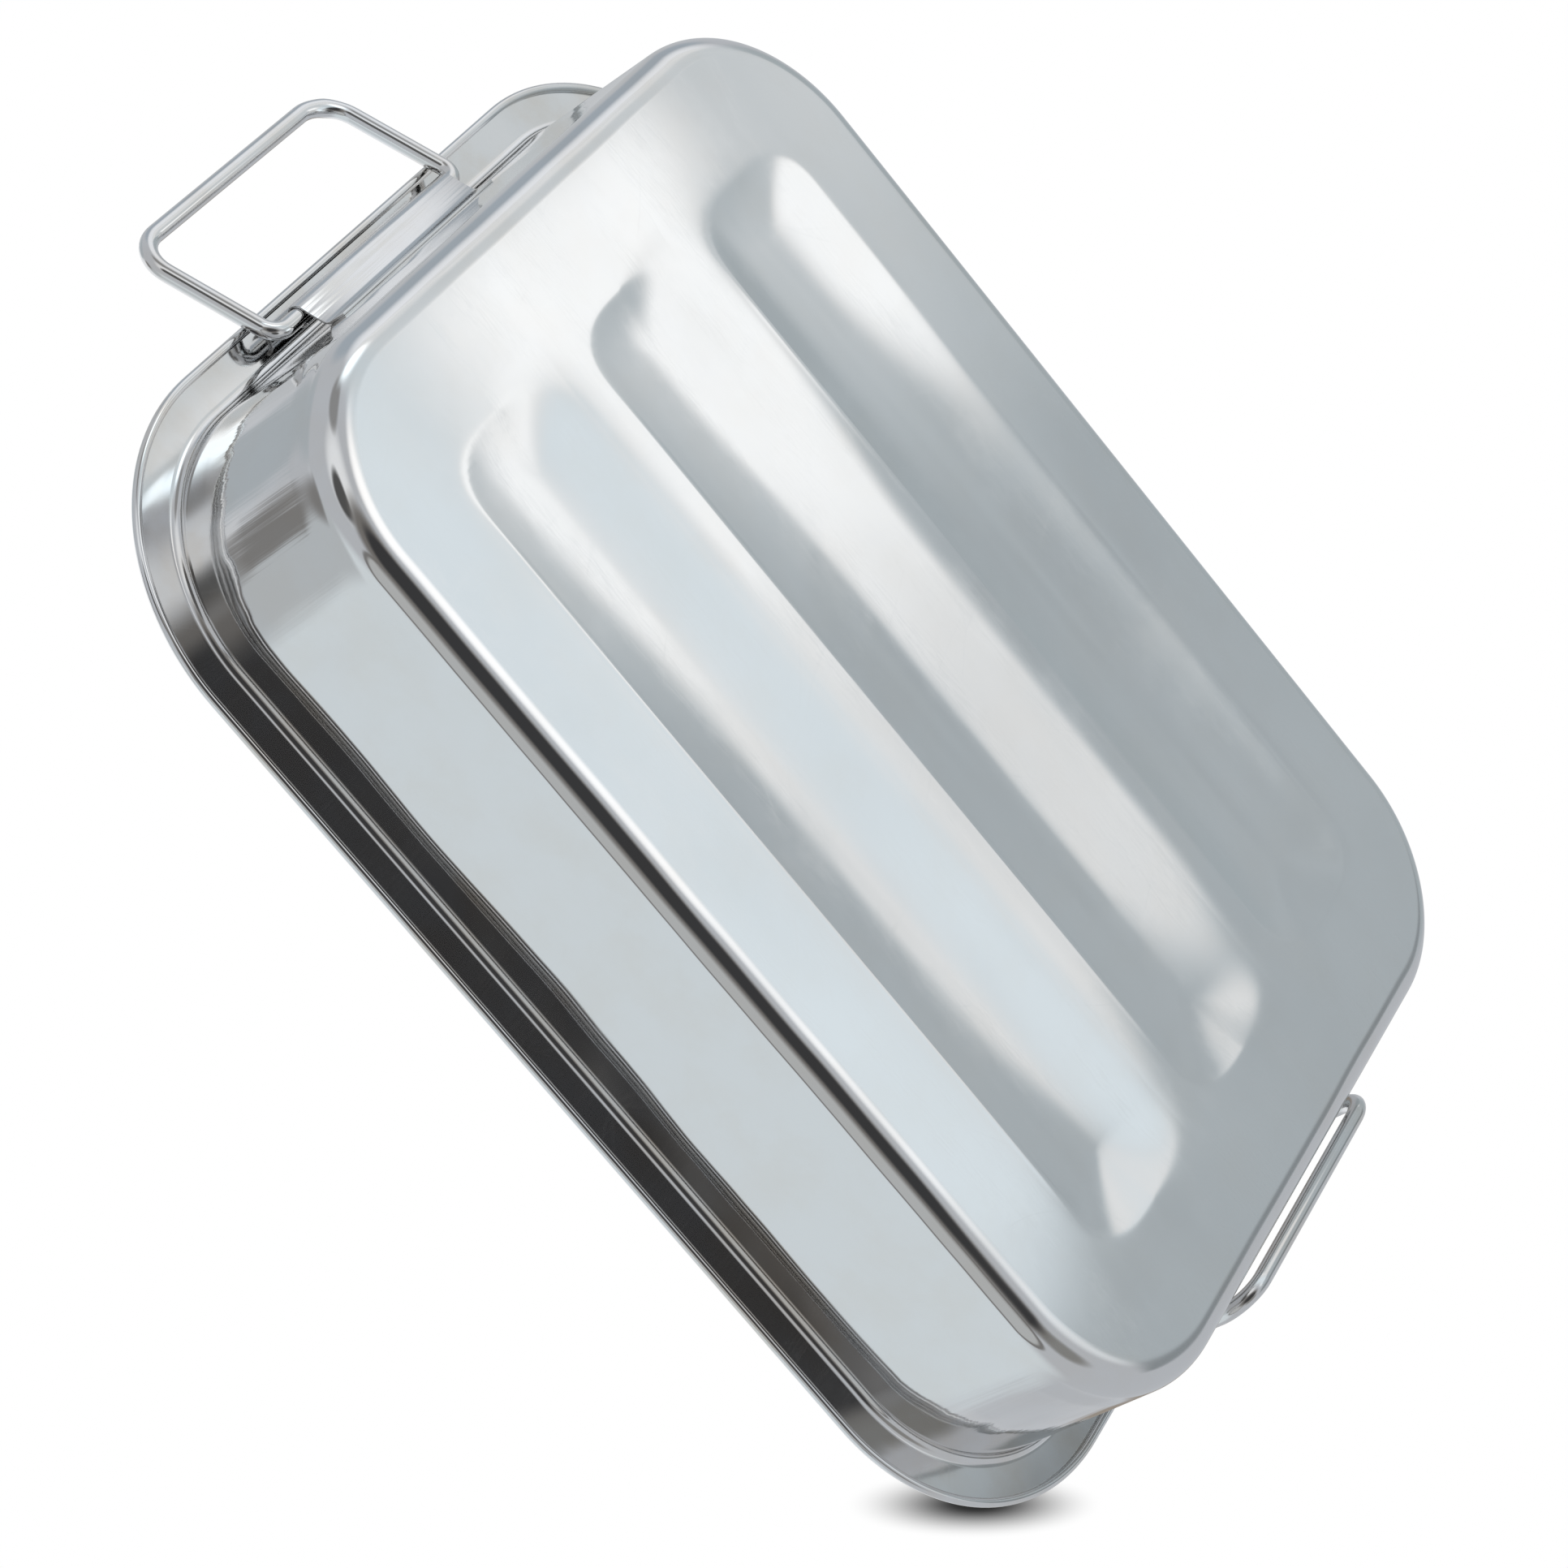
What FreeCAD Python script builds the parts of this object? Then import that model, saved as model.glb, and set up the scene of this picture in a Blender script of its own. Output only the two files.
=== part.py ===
import FreeCAD, Part
import math
import os

# Roasting pan drawn from one sheet, with a wire handle hinged in a curled bracket on each end wall.
# Frame: X along the length, Y across, Z up, origin under the middle of the base.

# Driving dimensions of the pan, in millimetres and degrees
rim_length = 377.0
rim_width = 286.0
pan_height = 64.0
rim_corner_radius = 64.5
pan_sheet = 0.8
wall_draft = 2.2
base_radius = 9.0
flange_width = 13.5
flange_radius = 3.0
edge_roll_radius = 1.3

# Stiffening grooves pressed up into the base
groove_count = 3
groove_pitch = 65.0
groove_shift = 2.0
groove_length = 268.0
groove_land = 11.8
groove_depth = 4.0
groove_end_slope = 20.0
groove_corner_radius = 12.0

# Handle wire, measured between wire centres
wire_diameter = 5.0
handle_width = 93.0
handle_reach = 45.0
pivot_bend_radius = 5.0
grip_bend_radius = 11.0
hanging_angle = -92.0

# Bracket folded from one strip
bracket_sheet = 0.7
bracket_strip = 5.4
bracket_bend_radius = 2.6
bracket_leg_angle = 26.0
curl_end_angle = 200.0
pivot_standoff = 6.4
pivot_drop = 9.2
bracket_offset = -2.5

# Clearances of the loop: round the wire in its curl, along the curl each way, at the end that it has
# slid to, and from the rim that it leans on when raised
pivot_fit = 0.08
handle_play = 3.0
slide_end_gap = 0.3
rim_rest_gap = 0.32

# Sections of a groove, as shares of its depth
groove_sections = (0.0, 0.3, 0.6, 0.82, 0.95)

# Places worked out from the dimensions
draft = math.radians(wall_draft)
flange_under = pan_height - pan_sheet
wall_top = rim_corner_radius - flange_width
corner_x = rim_length / 2 - rim_corner_radius
corner_y = rim_width / 2 - rim_corner_radius
base_tangent = base_radius * (1 - math.sin(draft))
wire_radius = wire_diameter / 2
pivot_z = pan_height - pivot_drop
handle_slide = handle_play - slide_end_gap
bracket_length = handle_width - 2 * (pivot_bend_radius + handle_play)
groove_width = groove_pitch - groove_land


def wall_radius(z):
    """Outer face of the wall at height z, as a radius about the corner's centre."""
    return wall_top - (flange_under - z) * math.tan(draft)


base_edge = wall_radius(base_tangent) - base_radius * math.cos(draft)
pivot_x = corner_x + wall_radius(pivot_z) + pivot_standoff

# The raised loop's arms lean on the rolled edge, whose centre is measured from the pivot
roll_x = corner_x + rim_corner_radius - edge_roll_radius - pivot_x
roll_z = pan_height - edge_roll_radius - pivot_z
lean_gap = edge_roll_radius + wire_radius + rim_rest_gap
lean_turn = math.acos(lean_gap / math.hypot(roll_x, roll_z)) - math.atan2(roll_x, roll_z)
raised_angle = math.degrees(lean_turn)


def point(x, z):
    return FreeCAD.Vector(x, 0, z)


def on_circle(centre, radius, angle):
    """Point of a circle in the XZ plane, with the angle in degrees up from +X."""
    turn = math.radians(angle)
    return centre + point(radius * math.cos(turn), radius * math.sin(turn))


def arc(centre, radius, start, end):
    ends = [on_circle(centre, radius, angle) for angle in (start, (start + end) / 2, end)]
    return Part.Arc(*ends).toShape()


def closed_face(edges):
    """Face inside edges given in order, with straight lines across the spaces between them."""
    outline = []
    for edge, following in zip(edges, edges[1:] + edges[:1]):
        outline.append(edge)
        if edge.lastVertex().Point.distanceToPoint(following.firstVertex().Point) > 1e-6:
            outline.append(Part.makeLine(edge.lastVertex().Point, following.firstVertex().Point))
    return Part.Face(Part.Wire(outline))


def sheet_profile():
    """Section of the pan from the base's edge to the rolled rim, with X as the corner's radius."""
    lean = 180 - wall_draft
    base_centre = point(base_edge, base_radius)
    flange_bend_z = flange_under - flange_radius * (1 - math.sin(draft))
    flange_x = wall_radius(flange_bend_z) + flange_radius * math.cos(draft)
    flange_centre = point(flange_x, flange_under - flange_radius)
    roll_centre = point(rim_corner_radius - edge_roll_radius, pan_height - edge_roll_radius)
    return closed_face([
        arc(base_centre, base_radius, -90, -wall_draft),
        arc(flange_centre, flange_radius, lean, 90),
        arc(roll_centre, edge_roll_radius - pan_sheet, 90, -180),
        arc(roll_centre, edge_roll_radius, -180, 90),
        arc(flange_centre, flange_radius + pan_sheet, 90, lean),
        arc(base_centre, base_radius - pan_sheet, -wall_draft, -90),
    ])


def turned(shape, angle):
    copy = shape.copy()
    copy.rotate(FreeCAD.Vector(0, 0, 0), FreeCAD.Vector(0, 0, 1), angle)
    return copy


def wall_ring():
    """Four straight walls and four rounded corners of one section."""
    profile = sheet_profile()
    corner = profile.revolve(FreeCAD.Vector(0, 0, 0), FreeCAD.Vector(0, 0, 1), 90)
    pieces = []
    for quarter, (side_x, side_y) in enumerate([(1, 1), (-1, 1), (-1, -1), (1, -1)]):
        piece = turned(corner, 90 * quarter)
        piece.translate(FreeCAD.Vector(side_x * corner_x, side_y * corner_y, 0))
        pieces.append(piece)
    for angle, reach, half in [(0, corner_x, corner_y), (90, corner_y, corner_x),
                               (180, corner_x, corner_y), (270, corner_y, corner_x)]:
        start = profile.translated(FreeCAD.Vector(reach, -half, 0))
        pieces.append(turned(start.extrude(FreeCAD.Vector(0, 2 * half, 0)), angle))
    return pieces


def rounded_rectangle(half_x, half_y, radius, z):
    inner_x = half_x - radius
    inner_y = half_y - radius
    corners = [(inner_x, inner_y, 0), (-inner_x, inner_y, 90), (-inner_x, -inner_y, 180), (inner_x, -inner_y, 270)]
    bends = []
    for x, y, start in corners:
        bend = Part.makeCircle(radius, FreeCAD.Vector(x, y, z), FreeCAD.Vector(0, 0, 1), start, start + 90)
        bends.append(bend)
    outline = []
    for bend, following in zip(bends, bends[1:] + bends[:1]):
        outline.append(bend)
        outline.append(Part.makeLine(bend.lastVertex().Point, following.firstVertex().Point))
    return Part.Wire(outline)


def groove_form(y, z):
    """Long shallow loaf with an arched section and sloping rounded ends, standing on height z."""
    wires = []
    for share in groove_sections:
        spread = math.sqrt(1 - share)
        half_x = groove_length / 2 - groove_end_slope * (1 - spread)
        half_y = groove_width / 2 * spread
        wires.append(rounded_rectangle(half_x, half_y, groove_corner_radius * spread, groove_depth * share))
    form = Part.makeLoft(wires, True)
    form.translate(FreeCAD.Vector(0, y, z))
    return form


def pan_body():
    outline = rounded_rectangle(corner_x + base_edge, corner_y + base_edge, base_edge, 0)
    base = Part.Face(outline).extrude(FreeCAD.Vector(0, 0, pan_sheet))
    rows = [groove_shift + (i - (groove_count - 1) / 2) * groove_pitch for i in range(groove_count)]
    body = base.fuse([groove_form(y, pan_sheet) for y in rows])
    body = body.cut([groove_form(y, 0) for y in rows])
    return body.fuse(wall_ring()).removeSplitter()


def sector(centre, inner, outer, start, end):
    return closed_face([arc(centre, inner, start, end), arc(centre, outer, end, start)])


def bar(corner, along, across):
    corners = [corner, corner + along, corner + along + across, corner + across]
    return Part.Face(Part.makePolygon(corners + corners[:1]))


def bracket(offset):
    """Strip flat on the end wall, bent out under the wire and curled up round it."""
    pivot = point(pivot_x, pivot_z)
    curl_inner = wire_radius + pivot_fit
    curl_outer = curl_inner + bracket_sheet
    lean = math.radians(bracket_leg_angle)
    leg_way = point(math.cos(lean), math.sin(lean))
    leg_down = point(math.sin(lean), -math.cos(lean))
    wall_way = point(math.sin(draft), math.cos(draft))
    wall_out = point(math.cos(draft), -math.sin(draft))
    wall_foot = point(corner_x + wall_radius(0), 0)

    # The bend's centre is one bend radius below the leg and one outside the strip.
    leg_gap = curl_outer + bracket_bend_radius
    strip_gap = bracket_sheet + bracket_bend_radius
    from_pivot = pivot + leg_down * leg_gap
    leg_run = ((from_pivot - wall_foot).dot(wall_out) - strip_gap) / leg_way.dot(wall_out)
    bend_centre = from_pivot - leg_way * leg_run
    strip_top = (bend_centre - wall_foot).dot(wall_way)

    leg_turn = 90 + bracket_leg_angle
    curl_start = bracket_leg_angle - 90
    strip_corner = wall_foot + wall_way * (strip_top - bracket_strip)
    leg_corner = bend_centre - leg_down * bracket_bend_radius
    pieces = [
        bar(strip_corner, wall_way * bracket_strip, wall_out * bracket_sheet),
        sector(bend_centre, bracket_bend_radius, bracket_bend_radius + bracket_sheet, leg_turn, 180 - wall_draft),
        bar(leg_corner, leg_way * leg_run, leg_down * -bracket_sheet),
        sector(pivot, curl_inner, curl_outer, curl_start, curl_end_angle),
    ]
    folds = [piece.extrude(FreeCAD.Vector(0, bracket_length, 0)) for piece in pieces]
    folded = folds[0].fuse(folds[1:]).removeSplitter()
    folded.translate(FreeCAD.Vector(0, offset - bracket_length / 2, 0))
    return folded


def wire_loop():
    """Closed wire loop lying level, with its pivot side on the Y axis."""
    half = handle_width / 2
    up = FreeCAD.Vector(0, 0, 1)
    corners = [(0, half, pivot_bend_radius), (handle_reach, half, grip_bend_radius),
               (handle_reach, -half, grip_bend_radius), (0, -half, pivot_bend_radius)]
    inward = [(1, -1), (-1, -1), (-1, 1), (1, 1)]
    bends = []
    for number, ((x, y, radius), (way_x, way_y)) in enumerate(zip(corners, inward)):
        centre = FreeCAD.Vector(x + way_x * radius, y + way_y * radius, 0)
        start = 180 - 90 * number
        bends.append(Part.makeCircle(radius, centre, up, start - 90, start))
    pieces = []
    for bend, following, (x, y, radius), (way_x, way_y) in zip(bends, bends[1:] + bends[:1], corners, inward):
        centre = FreeCAD.Vector(x + way_x * radius, y + way_y * radius, 0)
        tangent = bend.tangentAt(bend.FirstParameter)
        section = Part.Face(Part.Wire(Part.makeCircle(wire_radius, bend.firstVertex().Point, tangent)))
        pieces.append(section.revolve(centre, up, 90))
        run = following.lastVertex().Point - bend.firstVertex().Point
        pieces.append(section.extrude(run))
    return pieces[0].fuse(pieces[1:]).removeSplitter()


def handle(angle, slide):
    """Wire loop in its bracket, turned up from level by the angle and slid along the curl."""
    loop = wire_loop()
    loop.rotate(FreeCAD.Vector(0, 0, 0), FreeCAD.Vector(0, 1, 0), -angle)
    loop.translate(FreeCAD.Vector(pivot_x, slide, pivot_z))
    return loop


parts = {
    "pan_body": pan_body(),
    "right_bracket": bracket(bracket_offset),
    "left_bracket": turned(bracket(-bracket_offset), 180),
    "right_handle": handle(raised_angle, bracket_offset - handle_slide),
    "left_handle": turned(handle(hanging_angle, handle_slide - bracket_offset), 180),
}

os.makedirs("parts", exist_ok=True)
for name, shape in parts.items():
    solids = len(shape.Solids)
    box = shape.optimalBoundingBox(False)
    print(f"{name}: valid {shape.isValid()}, solids {solids}, volume {shape.Volume:.0f} mm3,",
          f"X {box.XMin:.1f} to {box.XMax:.1f}, Y {box.YMin:.1f} to {box.YMax:.1f}, Z {box.ZMin:.1f} to {box.ZMax:.1f}")
    shape.exportStep(f"parts/{name}.step")
print(f"pivot at X {pivot_x:.3f}, Z {pivot_z:.3f}; raised {raised_angle:.2f} degrees;",
      f"base edge {corner_x + base_edge:.2f} by {corner_y + base_edge:.2f}")
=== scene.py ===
# %% [markdown]
# # A stainless roasting pan with two fold-down wire handles
# The pan is one deep-drawn sheet: a flat base with three stiffening grooves, a leaning wall, a flat
# flange and a rolled edge. On each end wall a folded bracket curls round a closed loop of wire.
# The solids of the frame already hold every size, so each piece here is made again on those sizes as
# a clean mesh of its own, with finer bends than the solids have, and then given its finish.

# %% Load the frame
import math

import bmesh
import bpy
import numpy as np
from mathutils import Matrix, Vector
from mathutils.geometry import delaunay_2d_cdt


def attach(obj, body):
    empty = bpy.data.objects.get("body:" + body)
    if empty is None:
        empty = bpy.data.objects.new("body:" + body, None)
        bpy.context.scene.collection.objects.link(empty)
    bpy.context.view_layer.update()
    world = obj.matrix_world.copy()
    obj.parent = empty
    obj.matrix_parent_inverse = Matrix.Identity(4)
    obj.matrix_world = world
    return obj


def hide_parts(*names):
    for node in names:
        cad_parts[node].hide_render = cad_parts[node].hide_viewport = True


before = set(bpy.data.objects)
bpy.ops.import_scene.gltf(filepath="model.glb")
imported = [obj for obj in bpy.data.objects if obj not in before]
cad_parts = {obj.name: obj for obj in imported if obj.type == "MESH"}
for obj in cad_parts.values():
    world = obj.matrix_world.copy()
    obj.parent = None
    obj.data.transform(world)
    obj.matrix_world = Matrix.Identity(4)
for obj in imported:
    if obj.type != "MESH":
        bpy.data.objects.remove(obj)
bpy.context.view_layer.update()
MM = 0.001

# %% [markdown]
# ## Camera
# The pan was photographed from below, standing on one corner of its rim. The part itself stays on its
# base, so the camera goes under it: the matrix below says which way is right, up and back in the
# pan's own frame. A long lens keeps the far end nearly as large as the near one.

# %% Camera
CAMERA_PLACE = (0.213330, -0.789471, -0.700309)
CAMERA_RIGHT = (-0.629617, 0.445841, -0.636245)
CAMERA_DOWN = (-0.752335, -0.554219, 0.356136)
CAMERA_AHEAD = (-0.193839, 0.702899, 0.684368)
SENSOR_WIDTH, FOCAL_LENGTH = 36.0, 92.509

camera_data = bpy.data.cameras.new("camera")
camera_data.sensor_width = SENSOR_WIDTH
camera_data.lens = FOCAL_LENGTH
camera = bpy.data.objects.new("camera", camera_data)
bpy.context.scene.collection.objects.link(camera)
turn = Matrix((CAMERA_RIGHT, -Vector(CAMERA_DOWN), -Vector(CAMERA_AHEAD))).transposed().to_4x4()
camera.matrix_world = Matrix.Translation(CAMERA_PLACE) @ turn
bpy.context.scene.camera = camera
print("camera at", [round(v, 3) for v in camera.location])

# %% [markdown]
# ## Sizes of the drawn sheet
# The section of the wall is drawn once, as a radius out from the centre of a corner and a height. The
# same section serves the corners, where it turns, and the sides, where it runs straight.

# %% Sizes of the pan in millimetres
CORNER_X, CORNER_Y = 124.0, 78.5
RIM_RADIUS = 64.5
PAN_HEIGHT = 64.0
SHEET = 0.8
DRAFT = math.radians(2.2)
BASE_BEND = 9.0
FLANGE_BEND = 3.0
FLANGE_WIDTH = 13.5
ROLL, ROLL_END = 1.3, -200.0
FLANGE_UNDER = PAN_HEIGHT - SHEET


def wall_radius(z):
    """Outer face of the wall at height z."""
    return RIM_RADIUS - FLANGE_WIDTH - (FLANGE_UNDER - z) * math.tan(DRAFT)


base_edge = wall_radius(BASE_BEND * (1 - math.sin(DRAFT))) - BASE_BEND * math.cos(DRAFT)
flange_bend_z = FLANGE_UNDER - FLANGE_BEND * (1 - math.sin(DRAFT))
flange_bend_x = wall_radius(flange_bend_z) + FLANGE_BEND * math.cos(DRAFT)
print(f"flat of the base ends {base_edge:.2f} from the corner's centre")

# %% [markdown]
# ## Section of the wall
# A polished sheet shows every facet as a broken reflection, so the mesh carries exact normals: each
# run of the section gives its points together with the way that its face looks at both ends.

# %% Runs of the section
section_points = [(base_edge, 0.0)]
section_runs = []


def bend_run(centre, radius, start, end, steps, zone, side=1):
    """Arc of the section in degrees; side is 1 where the face looks away from the centre, or -1."""
    angles = np.radians(np.linspace(start, end, steps + 1))
    ways = np.column_stack([np.cos(angles), np.sin(angles)])
    add_run(np.array(centre) + radius * ways, side * ways, zone)


def straight_run(end, steps, zone):
    first, last = np.array(section_points[-1]), np.array(end)
    along = (last - first) / np.linalg.norm(last - first)
    points = first + (last - first) * np.linspace(0, 1, steps + 1)[:, None]
    add_run(points, np.tile((along[1], -along[0]), (steps + 1, 1)), zone)


def add_run(points, normals, zone):
    for place, (before, after) in zip(points[1:], zip(normals[:-1], normals[1:])):
        section_points.append(tuple(place))
        section_runs.append((before, after, zone))


print("the section starts at", np.round(section_points[0], 2))

# %% [markdown]
# ## Section from the base to the curl and back
# A draw press makes the wall and its two bends, and a rolling tool turns the edge in. A flat strip
# given a thickness would lose the curl, where the sheet almost meets itself, so the outer face and
# the inner face are both drawn. Each run belongs to a zone, and each zone gets its own finish.

# %% Section of the wall
BASE_ZONE, WALL_ZONE, FLANGE_ZONE, INSIDE_ZONE = range(4)
wall_turn = math.degrees(DRAFT)
roll_centre = (RIM_RADIUS - ROLL, PAN_HEIGHT - ROLL)
flange_centre = (flange_bend_x, FLANGE_UNDER - FLANGE_BEND)
wall_way = np.array((math.cos(DRAFT), -math.sin(DRAFT)))
base_centre = (base_edge, BASE_BEND)
roll_way = np.array((math.cos(math.radians(ROLL_END)), math.sin(math.radians(ROLL_END))))

# Outer face, from the base up to the flange and round the curl, then back down the inside.
bend_run(base_centre, BASE_BEND, -90, -wall_turn, 24, WALL_ZONE)
straight_run(np.array(flange_centre) - FLANGE_BEND * wall_way, 8, WALL_ZONE)
bend_run(flange_centre, FLANGE_BEND, 180 - wall_turn, 90, 12, FLANGE_ZONE, side=-1)
straight_run((roll_centre[0], FLANGE_UNDER), 4, FLANGE_ZONE)
bend_run(roll_centre, ROLL - SHEET, 90, ROLL_END, 10, FLANGE_ZONE, side=-1)
straight_run(np.array(roll_centre) + ROLL * roll_way, 1, FLANGE_ZONE)
bend_run(roll_centre, ROLL, ROLL_END, 90, 22, FLANGE_ZONE)
straight_run((flange_centre[0], PAN_HEIGHT), 4, INSIDE_ZONE)
bend_run(flange_centre, FLANGE_BEND + SHEET, 90, 180 - wall_turn, 12, INSIDE_ZONE)
straight_run(np.array(base_centre) + (BASE_BEND - SHEET) * wall_way, 8, INSIDE_ZONE)
bend_run(base_centre, BASE_BEND - SHEET, -wall_turn, -90, 16, INSIDE_ZONE, side=-1)
section_points = np.array(section_points)


def way_along(points):
    """Distance of each point along the line through them."""
    return np.concatenate([[0], np.cumsum(np.linalg.norm(np.diff(points, axis=0), axis=1))])


section_lengths = way_along(section_points)
print(len(section_points), "points in the section,", round(section_lengths[-1], 1), "mm along it")

# %% [markdown]
# ## Walk round the rim
# The section is carried round a rounded rectangle. Each stop gives the centre that the section is
# measured from and the way that it looks; the sides have few stops and the corners many.

# %% Stops round the rim
CORNER_STEPS, LONG_STEPS, SHORT_STEPS = 40, 16, 12
stops = []
for quarter, (way_x, way_y) in enumerate([(1, 1), (-1, 1), (-1, -1), (1, -1)]):
    centre = np.array((way_x * CORNER_X, way_y * CORNER_Y))
    for angle in np.linspace(90 * quarter, 90 * quarter + 90, CORNER_STEPS + 1):
        stops.append((*centre, math.radians(angle)))
    steps = LONG_STEPS if quarter % 2 == 0 else SHORT_STEPS
    following = np.array((-centre[0], centre[1]) if quarter % 2 == 0 else (centre[0], -centre[1]))
    for share in np.linspace(0, 1, steps + 1)[1:-1]:
        stops.append((*(centre + share * (following - centre)), math.radians(90 * quarter + 90)))
stops = np.array(stops)
print(len(stops), "stops round the rim")


def ring_of(radius, z):
    """One loop of points at a radius of the section."""
    outward = np.column_stack([np.cos(stops[:, 2]), np.sin(stops[:, 2])])
    return np.column_stack([stops[:, :2] + radius * outward, np.full(len(stops), z)])


# %% [markdown]
# ## Grooves in the base
# Each groove is pressed up into the base: seen from below it is a long shallow trough with an arched
# section and sloping, rounded ends. A groove is a stack of shrinking rounded outlines, so the height
# at a point follows from the outline that passes through it. A press leaves a small radius where the
# groove meets the flat, and a smooth maximum gives that.

# %% Height of the base
GROOVE_ROWS = (-63.0, 2.0, 67.0)
GROOVE_HALF_LENGTH, GROOVE_HALF_WIDTH = 134.0, 26.6
GROOVE_DEPTH, GROOVE_END = 4.0, 20.0
GROOVE_POWER, HIP_ROUNDING = 1.75, 3.0
CREASE, FAR_CREASE = 0.22, 0.95
LIP_HEIGHT, LIP_WIDTH = 0.10, 1.2


def groove_share(x, y):
    """Size of the rounded outline through a point, as a share of the groove's own outline."""
    end_share = np.maximum(0, 1 - (GROOVE_HALF_LENGTH - np.abs(x)) / GROOVE_END)
    side_share = np.abs(y) / GROOVE_HALF_WIDTH
    return (end_share ** HIP_ROUNDING + side_share ** HIP_ROUNDING) ** (1 / HIP_ROUNDING)


def base_height(x, y):
    """Grooves with a crisp lip on one side and, between two grooves, a softer edge on the other."""
    height = np.zeros_like(x)
    for row in GROOVE_ROWS:
        share = groove_share(x, y - row)
        rise = GROOVE_DEPTH * (1 - share ** GROOVE_POWER)
        across = np.clip((y - row) / GROOVE_HALF_WIDTH, -1, 1)
        softer = FAR_CREASE - CREASE if row < GROOVE_ROWS[-1] else 0.0
        crease = CREASE + softer * np.maximum(0, across)
        straight = np.clip((GROOVE_HALF_LENGTH - np.abs(x)) / GROOVE_END - 0.5, 0, 1)
        lip = LIP_HEIGHT * straight * np.maximum(0, -across)
        lip *= np.exp(-((share - 1) * GROOVE_HALF_WIDTH / LIP_WIDTH) ** 2)
        height += (rise + np.sqrt(rise * rise + 4 * crease * crease)) / 2 - lip
    return height


groove_middle = base_height(np.zeros(1), np.array([GROOVE_ROWS[1]]))[0]
print(f"{len(GROOVE_ROWS)} grooves, {groove_middle:.2f} mm deep in the middle")

# %% [markdown]
# ## Points of the base
# The height could be cut into a plain grid, but an even grid fine enough for the lips would be huge.
# The grid is fine beside the edges of the grooves and coarse elsewhere. The slope at each point is
# measured from the height itself, so that the normals are exact.


# %% Field of points
def graded(reach, step, edges, near=3.0, fine=0.5):
    """Coordinates from -reach to reach, with finer ones beside each edge."""
    coarse = np.linspace(-reach, reach, 2 * round(reach / step) + 1)
    coarse = coarse[[min(abs(c - edge) for edge in edges) > near for c in coarse]]
    beside = [np.arange(edge - near, edge + near + fine / 2, fine) for edge in edges]
    return np.unique(np.concatenate([coarse, *beside]).round(3))


FIELD_X, FIELD_Y, FIELD_MARGIN = 142.0, 102.0, 4.0
STEP_X, STEP_Y = 2.0, 1.0
groove_sides = [row + side * GROOVE_HALF_WIDTH for row in GROOVE_ROWS for side in (-1, 1)]
field_x = graded(FIELD_X, STEP_X, (-GROOVE_HALF_LENGTH, GROOVE_HALF_LENGTH))
field_y = graded(FIELD_Y, STEP_Y, groove_sides)
grid_x, grid_y = np.meshgrid(field_x, field_y, indexing="ij")

# The smooth maximum never quite reaches zero, so a margin blends the field into the flat.
edge_gap = np.minimum(FIELD_X - np.abs(grid_x), FIELD_Y - np.abs(grid_y))
margin = np.clip(edge_gap / FIELD_MARGIN, 0, 1)
margin = margin * margin * (3 - 2 * margin)


def field_height(x, y):
    return base_height(x, y) * margin


NUDGE = 0.05
slope_x = (field_height(grid_x + NUDGE, grid_y) - field_height(grid_x - NUDGE, grid_y)) / (2 * NUDGE)
slope_y = (field_height(grid_x, grid_y + NUDGE) - field_height(grid_x, grid_y - NUDGE)) / (2 * NUDGE)
field_z = field_height(grid_x, grid_y)
field_up = np.stack([-slope_x, -slope_y, np.ones_like(slope_x)], axis=-1)
field_up /= np.linalg.norm(field_up, axis=-1, keepdims=True)
print("base of", grid_x.size, "points")

# %% [markdown]
# ## The pan as one closed mesh
# The wall, the two faces of the base and the flat strip between them share their points, so the mesh
# is closed and has no stray edges. Every corner of every face keeps the exact normal worked out
# above, which is what makes a drawn sheet look smooth.

# %% Wall as faces
verts, faces, face_normals, face_zones, face_maps = [], [], [], [], []


def add_points(points):
    first = sum(len(group) for group in verts)
    verts.append(np.asarray(points, float))
    return first


rings = [add_points(ring_of(*place)) for place in section_points]
count = len(stops)
outward = np.column_stack([np.cos(stops[:, 2]), np.sin(stops[:, 2]), np.zeros(count)])
rim_loop = ring_of(RIM_RADIUS, 0.0)
rim_way = way_along(np.vstack([rim_loop, rim_loop[:1]]))


def turned_normal(pair, stop):
    return outward[stop] * pair[0] + np.array((0, 0, pair[1]))


for row, (before, after, zone) in enumerate(section_runs):
    low, high = rings[row], rings[row + 1]
    for stop in range(count):
        beyond = (stop + 1) % count
        faces.append((low + stop, low + beyond, high + beyond, high + stop))
        face_normals.append([turned_normal(before, stop), turned_normal(before, beyond),
                             turned_normal(after, beyond), turned_normal(after, stop)])
        face_zones.append(zone)
        here, there = rim_way[stop], rim_way[stop + 1]
        up, down = section_lengths[row], section_lengths[row + 1]
        face_maps.append([(here, up), (there, up), (there, down), (here, down)])
print("wall of", len(faces), "faces")

# %% [markdown]
# ## The two faces of the base
# The base is the same sheet as the wall, so both of its faces follow the grooves. The grid is a
# rectangle and the wall's foot is rounded. The flat strip between them could be cut by hand, but
# a triangulation joins two uneven rows of points safely.


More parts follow.
